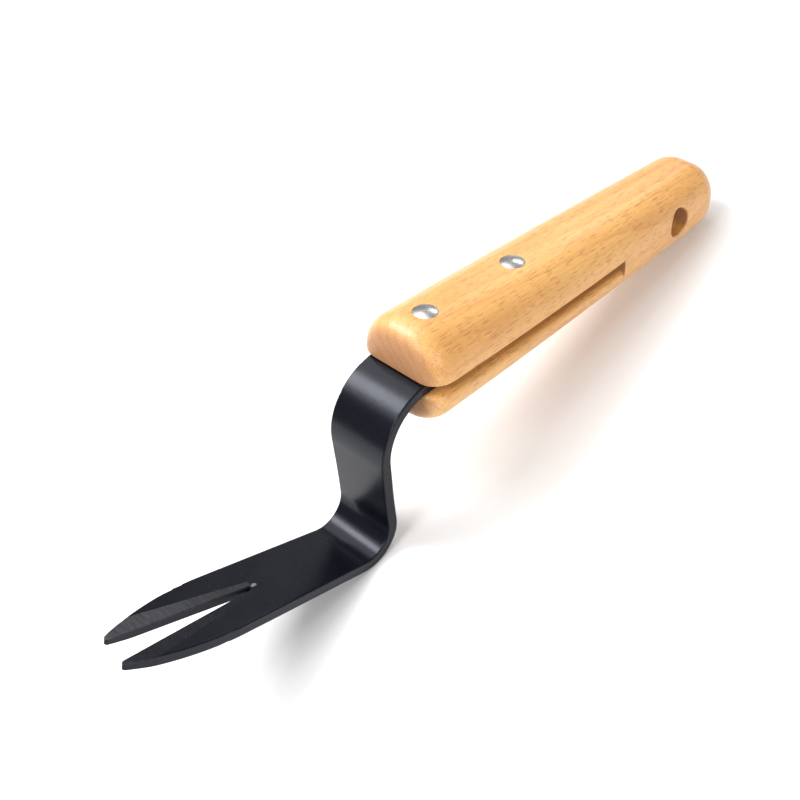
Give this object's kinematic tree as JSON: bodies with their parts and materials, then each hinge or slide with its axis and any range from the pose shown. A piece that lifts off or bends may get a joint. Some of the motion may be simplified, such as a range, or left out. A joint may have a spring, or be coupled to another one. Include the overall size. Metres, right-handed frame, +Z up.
{
  "type": "hand weeder",
  "caption": "Short-handled garden weeder with a cranked steel strip forked to pointed tines, riveted into a slotted hardwood handle with a hang hole.",
  "frame": {"origin": "middle of the tool's footprint box, on the surface it lies on", "axes": "+Z up as the tool lies with its heel and the rear of its handle down; +X level, from the handle towards the fork; +Y across, along the hang hole"},
  "size_m": [0.2288, 0.0298, 0.0551],
  "materials": {
    "beech": "satin clear lacquer",
    "black_steel": "glossy black coating",
    "rivet": "polished nickel"
  },
  "bodies": {
    "root": {"handle": "beech", "blade": "black_steel", "rivet_post_front": "rivet", "rivet_socket_front": "rivet", "rivet_post_rear": "rivet", "rivet_socket_rear": "rivet"}
  },
  "joints": []
}
